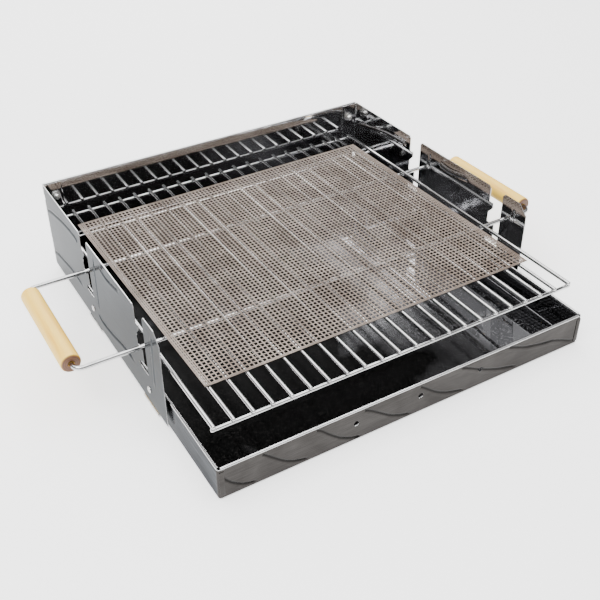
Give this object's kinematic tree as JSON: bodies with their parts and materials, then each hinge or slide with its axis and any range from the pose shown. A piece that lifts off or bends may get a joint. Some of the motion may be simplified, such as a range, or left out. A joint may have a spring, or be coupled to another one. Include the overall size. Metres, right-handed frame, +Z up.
{
  "type": "folding camp grill",
  "caption": "Low steel fire tray with tall hinged side and back walls, a wire grate hung in notched slots by wooden-gripped loops, and a woven mesh mat.",
  "frame": {"origin": "centre of the fire tray's flat underside", "axes": "+Z up, -Y towards the open front of the tray, +X towards the right-hand grip"},
  "size_m": [0.595, 0.4495, 0.1184],
  "materials": {
    "tray_steel": "brushed stainless outside, soot-darkened inside, bright rolled hem",
    "wall_steel": "polished stainless sheet with embossed lines",
    "wire_chrome": "bright chrome-plated wire",
    "fastener_steel": "satin steel",
    "beech": "clear-lacquered turned wood, darker end grain",
    "mat_weave": "coated glass-fibre mesh, brown with a pale sheen"
  },
  "bodies": {
    "tray": {"firebox_tray": "tray_steel", "left_front_hinge_fixed_leaf": "fastener_steel", "left_rear_hinge_fixed_leaf": "fastener_steel", "right_front_hinge_fixed_leaf": "fastener_steel", "right_rear_hinge_fixed_leaf": "fastener_steel", "back_left_hinge_fixed_leaf": "fastener_steel", "back_right_hinge_fixed_leaf": "fastener_steel", "left_front_hinge_pin": "fastener_steel", "left_rear_hinge_pin": "fastener_steel", "right_front_hinge_pin": "fastener_steel", "right_rear_hinge_pin": "fastener_steel", "back_left_hinge_pin": "fastener_steel", "back_right_hinge_pin": "fastener_steel", "left_front_tray_rivet": "fastener_steel", "left_rear_tray_rivet": "fastener_steel", "right_front_tray_rivet": "fastener_steel", "right_rear_tray_rivet": "fastener_steel", "back_left_tray_rivet": "fastener_steel", "back_right_tray_rivet": "fastener_steel"},
    "left_wall_body": {"left_wall": "wall_steel", "left_front_hinge_moving_leaf": "fastener_steel", "left_front_wall_rivet": "fastener_steel", "left_rear_hinge_moving_leaf": "fastener_steel", "left_rear_wall_rivet": "fastener_steel", "left_corner_stud": "fastener_steel", "left_corner_washer": "fastener_steel", "left_corner_cap_nut": "fastener_steel"},
    "right_wall_body": {"right_wall": "wall_steel", "right_front_hinge_moving_leaf": "fastener_steel", "right_front_wall_rivet": "fastener_steel", "right_rear_hinge_moving_leaf": "fastener_steel", "right_rear_wall_rivet": "fastener_steel", "right_corner_stud": "fastener_steel", "right_corner_washer": "fastener_steel", "right_corner_cap_nut": "fastener_steel"},
    "back_wall_body": {"back_wall": "wall_steel", "back_left_hinge_moving_leaf": "fastener_steel", "back_left_wall_rivet": "fastener_steel", "back_right_hinge_moving_leaf": "fastener_steel", "back_right_wall_rivet": "fastener_steel"},
    "grate": {"grate_grid": "wire_chrome", "left_handle_loop": "wire_chrome", "right_handle_loop": "wire_chrome"},
    "left_grip_body": {"left_grip": "beech"},
    "right_grip_body": {"right_grip": "beech"},
    "mat": {"mesh_mat": "mat_weave"}
  },
  "joints": [
    {"name": "left_wall_fold", "type": "hinge", "parent": "tray", "child": "left_wall_body", "pos_m": [-0.2234, 0, 0.0036], "axis": [0, -1, 0], "range_deg": [0, 36]},
    {"name": "right_wall_fold", "type": "hinge", "parent": "tray", "child": "right_wall_body", "pos_m": [0.2234, 0, 0.0036], "axis": [0, 1, 0], "range_deg": [0, 30]},
    {"name": "back_wall_fold", "type": "hinge", "parent": "tray", "child": "back_wall_body", "pos_m": [0, 0.22415, 0.0036], "axis": [-1, 0, 0], "range_deg": [0, 90]},
    {"name": "grate_lift", "type": "slide", "parent": "tray", "child": "grate", "axis": [0, 0, 1], "range_m": [0, 0.13]},
    {"name": "left_grip_spin", "type": "hinge", "parent": "grate", "child": "left_grip_body", "pos_m": [-0.293, 0.0095, 0.0737], "axis": [0, 1, 0], "continuous": true},
    {"name": "right_grip_spin", "type": "hinge", "parent": "grate", "child": "right_grip_body", "pos_m": [0.281, 0.0095, 0.0737], "axis": [0, 1, 0], "continuous": true},
    {"name": "mat_lift", "type": "slide", "parent": "grate", "child": "mat", "axis": [0, 0, 1], "range_m": [0, 0.12]}
  ]
}
